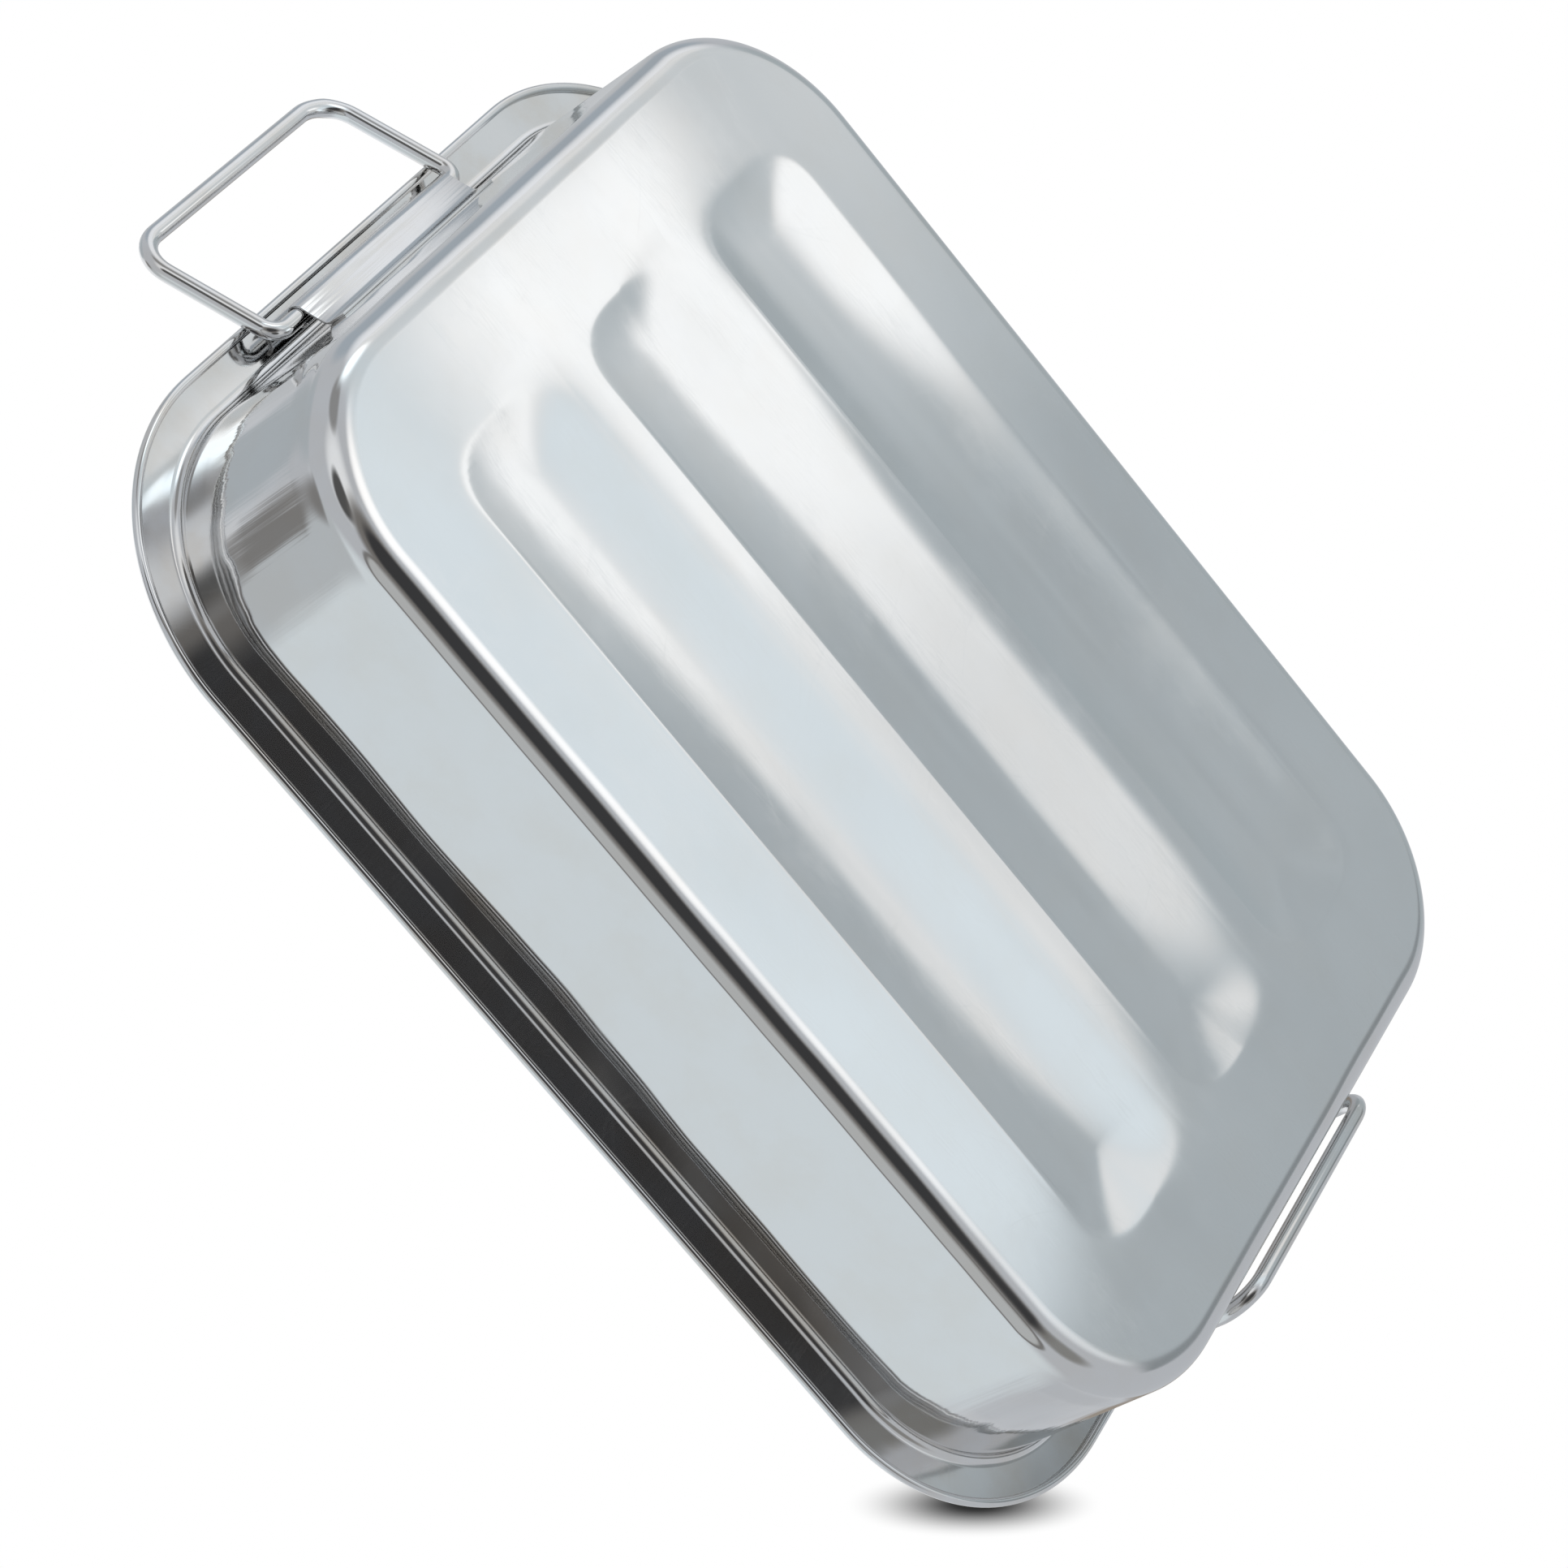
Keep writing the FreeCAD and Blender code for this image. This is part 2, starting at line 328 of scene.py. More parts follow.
# %% Base as faces
def add_base(loop_first, z, up, zone):
    """One face of the base: the grooved field and a flat strip out to the loop."""
    nx, ny = grid_x.shape
    first = add_points(np.column_stack([grid_x.ravel(), grid_y.ravel(), z + field_z.ravel()]))
    normals = field_up.reshape(-1, 3) * up
    places = np.vstack(verts)[:, :2]

    def add_face(corners, flat):
        corners = corners if up > 0 else corners[::-1]
        faces.append(tuple(corners))
        face_normals.append([(0, 0, up) if flat else normals[c - first] for c in corners])
        face_zones.append(zone)
        face_maps.append(places[list(corners)])

    for i in range(nx - 1):
        for j in range(ny - 1):
            start = first + i * ny + j
            add_face([start, start + ny, start + ny + 1, start + 1], False)
    border = [first + i * ny for i in range(nx)]
    border += [first + (nx - 1) * ny + j for j in range(1, ny)]
    border += [first + i * ny + ny - 1 for i in range(nx - 2, -1, -1)]
    border += [first + j for j in range(ny - 2, 0, -1)]
    numbers = border + [loop_first + stop for stop in range(count)]
    flat_points = [Vector(places[n]) for n in numbers]
    edges = [(k, (k + 1) % len(border)) for k in range(len(border))]
    triangles = delaunay_2d_cdt(flat_points, edges, [], 0, 1e-6)[2]
    for triangle in triangles:
        middle = sum((flat_points[k] for k in triangle), Vector((0, 0))) / 3
        if abs(middle.x) > FIELD_X or abs(middle.y) > FIELD_Y:
            add_face([numbers[k] for k in triangle], True)


add_base(rings[0], 0.0, -1, BASE_ZONE)
add_base(rings[-1], SHEET, 1, INSIDE_ZONE)
print("wall and base of", len(faces), "faces")

# %% [markdown]
# ## Pan as one piece
# Smooth shading alone would guess the normals from the faces and dent the reflections beside each
# bend. The normals worked out above are given to the mesh instead, and the map along the rim and the
# section lets a finish run with the metal.


# %% Pan as a mesh
def build_mesh(name, points, polygons, normals, zones=None, maps=None):
    """Mesh in metres with the exact normal at every corner of every face."""
    mesh = bpy.data.meshes.new(name)
    mesh.from_pydata((np.asarray(points) * MM).tolist(), [], [list(p) for p in polygons])
    mesh.polygons.foreach_set("use_smooth", [True] * len(mesh.polygons))
    if zones is not None:
        mesh.polygons.foreach_set("material_index", zones)
    if maps is not None:
        sheet_map = mesh.uv_layers.new(name="sheet")
        flat_map = np.concatenate([np.asarray(m, float) for m in maps]) * MM
        sheet_map.data.foreach_set("uv", flat_map.ravel())
    corner_normals = np.concatenate([np.asarray(n, float) for n in normals])
    corner_normals /= np.linalg.norm(corner_normals, axis=1, keepdims=True)
    mesh.normals_split_custom_set(corner_normals.tolist())
    piece = bpy.data.objects.new(name, mesh)
    bpy.context.scene.collection.objects.link(piece)
    return piece


pan_shell = build_mesh("pan_shell", np.vstack(verts), faces, face_normals, face_zones, face_maps)
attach(pan_shell, "pan")
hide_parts("pan_body")
print("pan of", len(pan_shell.data.polygons), "faces")

# %% [markdown]
# ## Brackets
# Each bracket is one strip folded along its length: a flat part lies on the end wall, a leg stands
# off it, and the end curls most of the way round the wire. Its section is drawn as one closed
# outline of two faces a sheet apart, run along the bracket, and the cut edges are broken a little,
# as a tumbled strip's are.

# %% Places of the pivot and the bracket
BRACKET_SHEET, BRACKET_STRIP, BRACKET_BEND = 0.7, 5.4, 2.6
LEG_ANGLE, LEG_HOLLOW, CURL_END = 26.0, 4.0, 200.0
BRACKET_LOW, BRACKET_HIGH = -41.0, 36.0
BEND_STEPS, LEG_STEPS, CURL_STEPS = 12, 12, 56
EDGE_BREAK, CUT_ANGLE, FOLD_ANGLE = 0.16, math.radians(50), math.radians(32)
WIRE, WIRE_FIT = 2.5, 0.08
CURL_INNER = WIRE + WIRE_FIT
PIVOT_STANDOFF, PIVOT_DROP = 6.4, 9.2
pivot_z = PAN_HEIGHT - PIVOT_DROP
pivot = np.array((CORNER_X + wall_radius(pivot_z) + PIVOT_STANDOFF, pivot_z))
print("pivot at", pivot.round(3))


def on_arc(centre, radius, start, end, steps):
    angles = np.radians(np.linspace(start, end, steps + 1))
    return centre + radius * np.column_stack([np.cos(angles), np.sin(angles)])


# %% [markdown]
# ## Section of the folded strip
# A press folds the strip and a second tool curls its end round the wire. One face with a thickness
# added would do for the folds but thins the curl, so both faces are drawn from the same bends, a
# sheet apart. The leg is a little hollow, as springback leaves it.


# %% Outline of the folded strip
def heading(angle):
    return np.array((math.cos(math.radians(angle)), math.sin(math.radians(angle))))


leg_way, leg_down = heading(LEG_ANGLE), heading(LEG_ANGLE - 90)
up_wall = np.array((math.sin(DRAFT), math.cos(DRAFT)))
wall_foot = np.array((CORNER_X + wall_radius(0.0), 0.0))
below_pivot = pivot + leg_down * (CURL_INNER + BRACKET_SHEET + BRACKET_BEND)
leg_run = ((below_pivot - wall_foot) @ wall_way - BRACKET_SHEET - BRACKET_BEND) / (leg_way @ wall_way)
bend_centre = below_pivot - leg_way * leg_run
strip_foot = wall_foot + up_wall * ((bend_centre - wall_foot) @ up_wall - BRACKET_STRIP)


def strip_face(bend_radius, curl_radius, lift):
    """One face of the strip, from its cut edge on the wall to the end of the curl, its leg a little hollow."""
    steep, shallow = LEG_ANGLE + LEG_HOLLOW, LEG_ANGLE - LEG_HOLLOW
    bend = on_arc(bend_centre, bend_radius, 180 - wall_turn, 90 + steep, BEND_STEPS)
    curl = on_arc(pivot, curl_radius, shallow - 90, CURL_END, CURL_STEPS)
    run, _ = np.linalg.solve(np.column_stack([heading(steep), heading(shallow)]), curl[0] - bend[-1])
    knee = bend[-1] + run * heading(steep)
    share = np.linspace(0, 1, LEG_STEPS + 1)[1:-1, None]
    leg = (1 - share) ** 2 * bend[-1] + 2 * share * (1 - share) * knee + share ** 2 * curl[0]
    return np.vstack([strip_foot + wall_way * lift, bend, leg, curl])


outer_face = strip_face(BRACKET_BEND, CURL_INNER + BRACKET_SHEET, BRACKET_SHEET)
inner_face = strip_face(BRACKET_BEND + BRACKET_SHEET, CURL_INNER, 0.0)
strip_outline = np.vstack([outer_face, inner_face[::-1]])
print(len(strip_outline), "points round the folded strip")


# %% [markdown]
# ## Brackets as pieces
# A strip is the same all along, so its outline is run straight from end to end and closed there. The
# left one could be a mirrored copy, but that would turn its faces inside out, so the outline itself is
# mirrored. A small bevel stands for the broken edge and catches a line of light.


# %% Brackets as meshes
def folded_bracket(name, side):
    """Strip run along Y on the +X wall (side 1), or on the -X wall (side -1)."""
    shape = bmesh.new()
    ends = []
    for y in (BRACKET_LOW, BRACKET_HIGH):
        ends.append([shape.verts.new((side * x * MM, y * MM, z * MM)) for x, z in strip_outline])
    half = len(outer_face)
    last = len(strip_outline) - 1
    for k in range(last + 1):
        following = (k + 1) % (last + 1)
        shape.faces.new((ends[0][k], ends[0][following], ends[1][following], ends[1][k]))
    for end in ends:
        for k in range(half - 1):
            shape.faces.new((end[k], end[k + 1], end[last - k - 1], end[last - k]))
    bmesh.ops.recalc_face_normals(shape, faces=shape.faces)
    sharp = [e for e in shape.edges if e.calc_face_angle(0) > CUT_ANGLE]
    bmesh.ops.bevel(shape, geom=sharp, offset=EDGE_BREAK * MM, segments=2, profile=0.5,
                    affect="EDGES", clamp_overlap=True)
    mesh = bpy.data.meshes.new(name)
    shape.to_mesh(mesh)
    shape.free()
    mesh.polygons.foreach_set("use_smooth", [True] * len(mesh.polygons))
    mesh.set_sharp_from_angle(angle=FOLD_ANGLE)
    piece = bpy.data.objects.new(name, mesh)
    bpy.context.scene.collection.objects.link(piece)
    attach(piece, "pan")
    return piece


right_fold = folded_bracket("right_bracket_fold", 1)
left_fold = folded_bracket("left_bracket_fold", -1)
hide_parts("right_bracket")
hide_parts("left_bracket")
print("brackets of", len(right_fold.data.polygons), "faces each")

# %% [markdown]
# ## Wire handles
# A handle is one round wire bent into a closed loop and butt welded. The loop is drawn flat as
# straight runs and bends, a ring of points follows it, and the weld is a slight swelling at one
# bend of the grip. The finished loop is then turned about its pivot to where it rests.

# %% Centre line of a loop
HANDLE_HALF, HANDLE_REACH = 46.5, 45.0
PIVOT_BEND, GRIP_BEND = 5.0, 11.0
WIRE_SIDES, SIDE_WIDTH, BEND_STOPS, STOP_GAP = 28, 0.56, 16, 4.0
WELD_INSET, WELD_SWELL, WELD_SPREAD = 3.2, 0.07, 5.0
RAISED, HANGING = 27.88, -92.0
LOOP_MIDDLE = -5.2


def loop_line():
    """Points along the wire's centre and the way it runs, starting in the middle of the pivot side."""
    bends = [(0, HANDLE_HALF, PIVOT_BEND, 180), (HANDLE_REACH, HANDLE_HALF, GRIP_BEND, 90),
             (HANDLE_REACH, -HANDLE_HALF, GRIP_BEND, 0), (0, -HANDLE_HALF, PIVOT_BEND, -90)]
    line = []
    for x, y, radius, start in bends:
        centre = np.array((x + (radius if x == 0 else -radius), y - math.copysign(radius, y)))
        for angle in np.radians(np.linspace(start, start - 90, BEND_STOPS + 1)):
            way = np.array((math.cos(angle), math.sin(angle)))
            line.append((*(centre + radius * way), way[1], -way[0]))
    full = []
    for here, there in zip(line, line[1:] + line[:1]):
        full.append(here)
        gap = math.dist(here[:2], there[:2])
        for share in np.linspace(0, 1, max(1, round(gap / STOP_GAP)) + 1)[1:-1]:
            full.append(tuple(np.array(here) * (1 - share) + np.array(there) * share))
    return np.array(full)


centre_line = loop_line()
print(len(centre_line), "stops along the wire")


# %% [markdown]
# ## Handles as pieces
# A curve with a round bevel would make a wire too, but its weld could not swell. So rings of points
# are set square to the line, and each normal looks straight out from the centre, which keeps the
# highlight along the wire unbroken.


# %% Handles as meshes
def wire_handle(name, body, side, angle):
    """Loop on the +X side (side 1) or the -X side (side -1), raised by the angle in degrees."""
    tilt = math.radians(angle)
    along_arm = np.array((side * math.cos(tilt), 0, math.sin(tilt)))
    across = np.array((0, 1, 0))
    face_on = np.cross(along_arm, across)
    hinge = np.array((side * pivot[0], LOOP_MIDDLE, pivot[1]))
    weld = np.array((HANDLE_REACH - WELD_INSET, HANDLE_HALF - WELD_INSET))
    points, ways, polygons, normals, maps = [], [], [], [], []
    turns = np.linspace(0, 2 * math.pi, WIRE_SIDES + 1)
    spans = way_along(np.vstack([centre_line, centre_line[:1]])[:, :2])
    for x, y, run_x, run_y in centre_line:
        middle = hinge + along_arm * x + across * y
        beside = along_arm * run_y - across * run_x
        off_weld = (x - weld[0]) ** 2 + (y - weld[1]) ** 2
        swell = 1 + WELD_SWELL * math.exp(-off_weld / WELD_SPREAD)
        for turn_angle in turns[:-1]:
            way = beside * math.cos(turn_angle) + face_on * math.sin(turn_angle)
            points.append(middle + WIRE * swell * way)
            ways.append(way)
    stops_along = len(centre_line)
    for stop in range(stops_along):
        ring, next_ring = stop * WIRE_SIDES, (stop + 1) % stops_along * WIRE_SIDES
        here, there = spans[stop], spans[stop + 1]
        for k in range(WIRE_SIDES):
            k_next = (k + 1) % WIRE_SIDES
            quad = [ring + k, next_ring + k, next_ring + k_next, ring + k_next]
            low, high = k * SIDE_WIDTH, (k + 1) * SIDE_WIDTH
            polygons.append(quad)
            normals.append([ways[v] for v in quad])
            maps.append([(here, low), (there, low), (there, high), (here, high)])
    piece = build_mesh(name, points, polygons, normals, None, maps)
    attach(piece, body)
    return piece


right_wire = wire_handle("right_wire_loop", "right_handle", 1, RAISED)
left_wire = wire_handle("left_wire_loop", "left_handle", -1, HANGING)
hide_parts("right_handle")
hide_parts("left_handle")
print("wire loops of", len(right_wire.data.polygons), "faces each")

# %% [markdown]
# ## Helpers for nodes
# Materials, light cards and the world are all node trees. They could be wired by hand in the editor,
# but a script can be read and run again. Six short helpers keep it readable: one adds a node and fills
# its sockets, the next three do arithmetic, soft steps and mixed colours, and two make and place groups.


# %% Node helpers
def add(tree, kind, feeds, **options):
    """Adds a node, sets its options, then fills its sockets with values or links."""
    made = tree.nodes.new("ShaderNode" + kind)
    for option, value in options.items():
        setattr(made, option, value)
    for socket, value in feeds.items():
        if isinstance(value, bpy.types.NodeSocket):
            tree.links.new(value, made.inputs[socket])
        else:
            made.inputs[socket].default_value = value
    return made


def maths(tree, operation, *values):
    return add(tree, "Math", dict(enumerate(values)), operation=operation).outputs[0]


def soft_step(tree, value, start, end, low=0.0, high=1.0):
    """Goes smoothly from low to high while the value goes from start to end."""
    feeds = {0: value, 1: start, 2: end, 3: low, 4: high}
    return add(tree, "MapRange", feeds, interpolation_type="SMOOTHSTEP").outputs[0]


def mix_colour(tree, share, first, second):
    return add(tree, "Mix", {0: share, 6: first, 7: second}, data_type="RGBA").outputs[2]


def new_group(name, inputs, outputs):
    """Empty node group with named sockets: inputs and outputs are pairs of a name and a kind."""
    group = bpy.data.node_groups.new(name, "ShaderNodeTree")
    for label, kind in inputs:
        group.interface.new_socket(label, in_out="INPUT", socket_type="NodeSocket" + kind)
    for label, kind in outputs:
        group.interface.new_socket(label, in_out="OUTPUT", socket_type="NodeSocket" + kind)
    return group, group.nodes.new("NodeGroupInput"), group.nodes.new("NodeGroupOutput")


def use_group(tree, group, feeds):
    """Places a group in a material; the group is set before its sockets are filled."""
    return add(tree, "Group", feeds, node_tree=group)


print("helpers", [helper.__name__ for helper in (add, maths, soft_step, mix_colour, new_group, use_group)])

# %% [markdown]
# ## Shared effects of worked steel
# Drawn sheet is never quite flat: it carries long soft ripples that bend reflections. Brushing leaves
# fine parallel lines, use leaves hair scratches and wiped smears, and the bends keep a faint golden
# film from heat and polish. Each effect is one group that the finishes share.

# %% Ripples of drawn sheet
ripple_group, inside, outside = new_group(
    "sheet_ripple", [("Coordinate", "Vector"), ("Size", "Float")], [("Height", "Float")])
TIGHTER, TIGHT_SHARE = 4.3, 0.06
sheet_place, size = inside.outputs["Coordinate"], inside.outputs["Size"]
wide = add(ripple_group, "TexNoise", {"Vector": sheet_place, "Scale": size, "Detail": 1.0, "Roughness": 0.4})
tight_size = maths(ripple_group, "MULTIPLY", size, TIGHTER)
tight = add(ripple_group, "TexNoise", {"Vector": sheet_place, "Scale": tight_size, "Detail": 0.0})
total = maths(ripple_group, "MULTIPLY_ADD", tight.outputs["Fac"], TIGHT_SHARE, wide.outputs["Fac"])
ripple_group.links.new(total, outside.inputs["Height"])
print("group", ripple_group.name)

# %% [markdown]
# ## Brushed lines
# A belt leaves fine parallel lines. An image of them would repeat and blur close up, and noise
# stretched along one axis does neither. The group gives a height for the lines, and a mask that
# gathers them in bands because a belt never presses evenly.

# %% Brushed lines
brush_group, inside, outside = new_group(
    "brushed_lines", [("Coordinate", "Vector"), ("Fineness", "Float"), ("Stretch", "Float")],
    [("Height", "Float"), ("Mask", "Float")])
across_line = add(brush_group, "SeparateXYZ", {0: inside.outputs["Coordinate"]})
fine_x = maths(brush_group, "MULTIPLY", across_line.outputs[0], inside.outputs["Fineness"])
slow_y = maths(brush_group, "MULTIPLY", across_line.outputs[1], inside.outputs["Stretch"])
slow_z = maths(brush_group, "MULTIPLY", across_line.outputs[2], inside.outputs["Stretch"])
drawn = add(brush_group, "CombineXYZ", {0: fine_x, 1: slow_y, 2: slow_z}).outputs[0]
lines = add(brush_group, "TexNoise", {"Vector": drawn, "Scale": 1.0, "Detail": 2.0, "Roughness": 0.55})
bands = add(brush_group, "TexNoise", {"Vector": drawn, "Scale": 0.09, "Detail": 1.0})
brush_group.links.new(lines.outputs["Fac"], outside.inputs["Height"])
streak = maths(brush_group, "MULTIPLY", soft_step(brush_group, lines.outputs["Fac"], 0.35, 0.7),
               soft_step(brush_group, bands.outputs["Fac"], 0.35, 0.65))
brush_group.links.new(streak, outside.inputs["Mask"])
print("group", brush_group.name)

# %% [markdown]
# ## Scratches and smears
# Use leaves hair scratches at every angle and wiped smears. Scratches could be drawn one by one. Here
# the thin borders of long, stretched cells make them at three angles, and noise breaks them up.

# %% Scratches and smears
marks_group, inside, outside = new_group(
    "handling_marks", [("Coordinate", "Vector"), ("Size", "Float")],
    [("Scratches", "Float"), ("Smears", "Float")])
HAIR_ANGLES, HAIR_AXIS, HAIR_STRETCH, HAIR_WIDTH = (0.5, 1.45, 2.6), (0.2, 0.3, 0.93), (1.0, 0.06, 1.0), 0.012
BENT_BY = (0.02, 0.02, 0.02)
bent = add(marks_group, "TexNoise", {"Vector": inside.outputs["Coordinate"], "Scale": 14.0, "Detail": 2.0})
pushed = add(marks_group, "VectorMath", {0: bent.outputs["Color"], 1: BENT_BY}, operation="MULTIPLY")
placed = add(marks_group, "VectorMath", {0: inside.outputs["Coordinate"], 1: pushed.outputs[0]},
             operation="ADD").outputs[0]
hairs = None
for angle in HAIR_ANGLES:
    swung = add(marks_group, "VectorRotate", {"Vector": placed, "Angle": angle, "Axis": HAIR_AXIS},
                rotation_type="AXIS_ANGLE").outputs[0]
    slim = add(marks_group, "VectorMath", {0: swung, 1: HAIR_STRETCH}, operation="MULTIPLY")
    cells = add(marks_group, "TexVoronoi", {"Vector": slim.outputs[0], "Scale": inside.outputs["Size"]},
                feature="DISTANCE_TO_EDGE")
    hair = soft_step(marks_group, cells.outputs["Distance"], HAIR_WIDTH, 0.0)
    broken = add(marks_group, "TexNoise", {"Vector": swung, "Scale": 31.0})
    hair = maths(marks_group, "MULTIPLY", hair, soft_step(marks_group, broken.outputs["Fac"], 0.52, 0.66))
    hairs = hair if hairs is None else maths(marks_group, "MAXIMUM", hairs, hair)
marks_group.links.new(hairs, outside.inputs["Scratches"])
cloud = add(marks_group, "TexNoise", {"Vector": placed, "Scale": 26.0, "Detail": 5.0, "Roughness": 0.62})
marks_group.links.new(soft_step(marks_group, cloud.outputs["Fac"], 0.42, 0.72), outside.inputs["Smears"])
print("group", marks_group.name)

# %% [markdown]
# ## Golden film of the bends
# Polish and heat leave a faint golden film in patches. It could be a layer of varnish, but it only
# tints what the metal mirrors, so the steel's own colour is mixed towards gold.

# %% Golden film of the bends
film_group, inside, outside = new_group(
    "golden_film", [("Coordinate", "Vector"), ("Steel", "Color"), ("Film", "Color"), ("Cover", "Float")],
    [("Color", "Color")])
patches = add(film_group, "TexNoise", {"Vector": inside.outputs["Coordinate"], "Scale": 38.0,
                                       "Detail": 4.0, "Roughness": 0.6})
patchy = soft_step(film_group, patches.outputs["Fac"], 0.38, 0.7)
spread = maths(film_group, "MULTIPLY", patchy, inside.outputs["Cover"])
tinted = mix_colour(film_group, spread, inside.outputs["Steel"], inside.outputs["Film"])
film_group.links.new(tinted, outside.inputs["Color"])
print("group", film_group.name)

# %% [markdown]
# ## Streaks of the drawn corners
# At the corners the sheet is squeezed while it is drawn, and it keeps upright streaks and slight
# folds. They are too shallow for the mesh, so they are a height for the shading, limited to the wall
# of the four corners.

# %% Streaks of the drawn corners
streak_group, inside, outside = new_group(
    "draw_streaks", [("Coordinate", "Vector"), ("Map", "Vector")], [("Height", "Float")])
PAST_X, PAST_Y = (0.116, 0.142), (0.070, 0.097)
WALL_FOOT, WALL_HEAD = (0.009, 0.017), (0.052, 0.038)
LINE_STRETCH, FOLD_STRETCH, FOLD_DEPTH = (230.0, 9.0, 1.0), (75.0, 26.0, 1.0), 5.0
spot_x, spot_y, spot_z = add(streak_group, "SeparateXYZ", {0: inside.outputs["Coordinate"]}).outputs
past_x = soft_step(streak_group, maths(streak_group, "ABSOLUTE", spot_x), *PAST_X)
past_y = soft_step(streak_group, maths(streak_group, "ABSOLUTE", spot_y), *PAST_Y)
on_wall = maths(streak_group, "MULTIPLY", soft_step(streak_group, spot_z, *WALL_FOOT),
                soft_step(streak_group, spot_z, *WALL_HEAD))
in_corner = maths(streak_group, "MULTIPLY", maths(streak_group, "MULTIPLY", past_x, past_y), on_wall)
upright, wrinkled = [add(streak_group, "VectorMath", {0: inside.outputs["Map"], 1: stretch},
                         operation="MULTIPLY").outputs[0] for stretch in (LINE_STRETCH, FOLD_STRETCH)]
lines = add(streak_group, "TexNoise", {"Vector": upright, "Scale": 1.0, "Detail": 3.0, "Roughness": 0.55})
folds = add(streak_group, "TexNoise", {"Vector": wrinkled, "Scale": 1.0, "Detail": 1.0})
height = maths(streak_group, "MULTIPLY_ADD", folds.outputs["Fac"], FOLD_DEPTH, lines.outputs["Fac"])
streak_group.links.new(maths(streak_group, "MULTIPLY", height, in_corner), outside.inputs["Height"])
print("group", streak_group.name)

# %% [markdown]
# ## Finishes
# The underside of the base is satin, the wall is polished until it mirrors, the flange is brushed
# across and the inside is brushed along. All are plain stainless steel, so they differ only in their
# roughness, the way their lines run and how much film they keep.

# %% Recipe of a steel finish
STEEL = (0.76, 0.765, 0.77, 1.0)
FILM = (0.62, 0.50, 0.36, 1.0)
SCRATCH_SIZE = 34.0
EVEN_SHARE, LINE_SHARE, SMEAR_SHARE, SCRATCH_ROUGHNESS = 0.8, 0.35, 0.5, 0.03
BASE_EDGE_HEIGHT, BASE_EDGE_ROUGHNESS = 0.0014, 0.12


def steel_finish(name, roughness, ripple, ripple_depth, brush, brush_depth, film_cover, marks,
                 use_map=False, drawn=0.0):
    """Metal with ripples, brushed lines, marks and film; brush is the fineness and stretch of its lines."""
    material = bpy.data.materials.new(name)
    material.use_nodes = True
    tree = material.node_tree
    metal = tree.nodes["Principled BSDF"]
    metal.inputs["Metallic"].default_value = 1.0
    coordinate = add(tree, "TexCoord", {})
    place = coordinate.outputs["Object"]
    along = coordinate.outputs["UV"] if use_map else place
    waves = use_group(tree, ripple_group, {"Coordinate": place, "Size": ripple})
    brushed = use_group(tree, brush_group, {"Coordinate": along, "Fineness": brush[0], "Stretch": brush[1]})
    worn = use_group(tree, marks_group, {"Coordinate": place, "Size": SCRATCH_SIZE})
    film = use_group(tree, film_group, {"Coordinate": place, "Steel": STEEL, "Film": FILM, "Cover": film_cover})
    tree.links.new(film.outputs["Color"], metal.inputs["Base Color"])
    rough = maths(tree, "MULTIPLY_ADD", brushed.outputs["Mask"], LINE_SHARE * roughness, EVEN_SHARE * roughness)
    rough = maths(tree, "MULTIPLY_ADD", worn.outputs["Smears"], SMEAR_SHARE * roughness * marks, rough)
    rough = maths(tree, "MULTIPLY_ADD", worn.outputs["Scratches"], SCRATCH_ROUGHNESS * marks, rough)
    wavy = add(tree, "Bump", {"Height": waves.outputs["Height"], "Strength": 1.0, "Distance": ripple_depth * MM})
    if drawn:
        streaks = use_group(tree, streak_group, {"Coordinate": place, "Map": coordinate.outputs["UV"]})
        wavy = add(tree, "Bump", {"Height": streaks.outputs["Height"], "Strength": 1.0,
                                  "Distance": drawn * MM, "Normal": wavy.outputs[0]})
        height = add(tree, "SeparateXYZ", {0: place}).outputs[2]
        blurred = soft_step(tree, height, BASE_EDGE_HEIGHT, 0.0, 0.0, BASE_EDGE_ROUGHNESS)
        rough = maths(tree, "ADD", rough, blurred)
    tree.links.new(rough, metal.inputs["Roughness"])
    lined = add(tree, "Bump", {"Height": brushed.outputs["Height"], "Strength": 1.0,
                               "Distance": brush_depth * MM, "Normal": wavy.outputs[0]})
    tree.links.new(lined.outputs[0], metal.inputs["Normal"])
    return material


print("a finish mixes", [g.name for g in bpy.data.node_groups])

# %% [markdown]
# ## Six finishes
# Six separate materials built by hand would drift apart, so one recipe makes them all. The wall is
# smoothest and waviest, the inside is roughest, and the bracket keeps the deep lines of its strip.
# How rough each one is follows from how sharply it mirrors in the photograph.

# %% Six finishes
satin_base = steel_finish("satin_base", roughness=0.16, ripple=12.0, ripple_depth=0.10, brush=(180.0, 1500.0),
                          brush_depth=0.0008, film_cover=0.05, marks=1.0)
polished_wall = steel_finish("polished_wall", roughness=0.055, ripple=14.0, ripple_depth=2.0, brush=(60.0, 900.0),
                             brush_depth=0.0003, film_cover=0.10, marks=0.8, drawn=0.12)
brushed_flange = steel_finish("brushed_flange", roughness=0.10, ripple=16.0, ripple_depth=1.0, brush=(1500.0, 60.0),
                              brush_depth=0.0003, film_cover=0.25, marks=1.0, use_map=True)
satin_inside = steel_finish("satin_inside", roughness=0.24, ripple=12.0, ripple_depth=0.08, brush=(120.0, 1800.0),
                            brush_depth=0.0012, film_cover=0.05, marks=0.5)
bracket_steel = steel_finish("bracket_steel", roughness=0.13, ripple=30.0, ripple_depth=0.03, brush=(520.0, 18.0),
                             brush_depth=0.22, film_cover=0.10, marks=1.0)
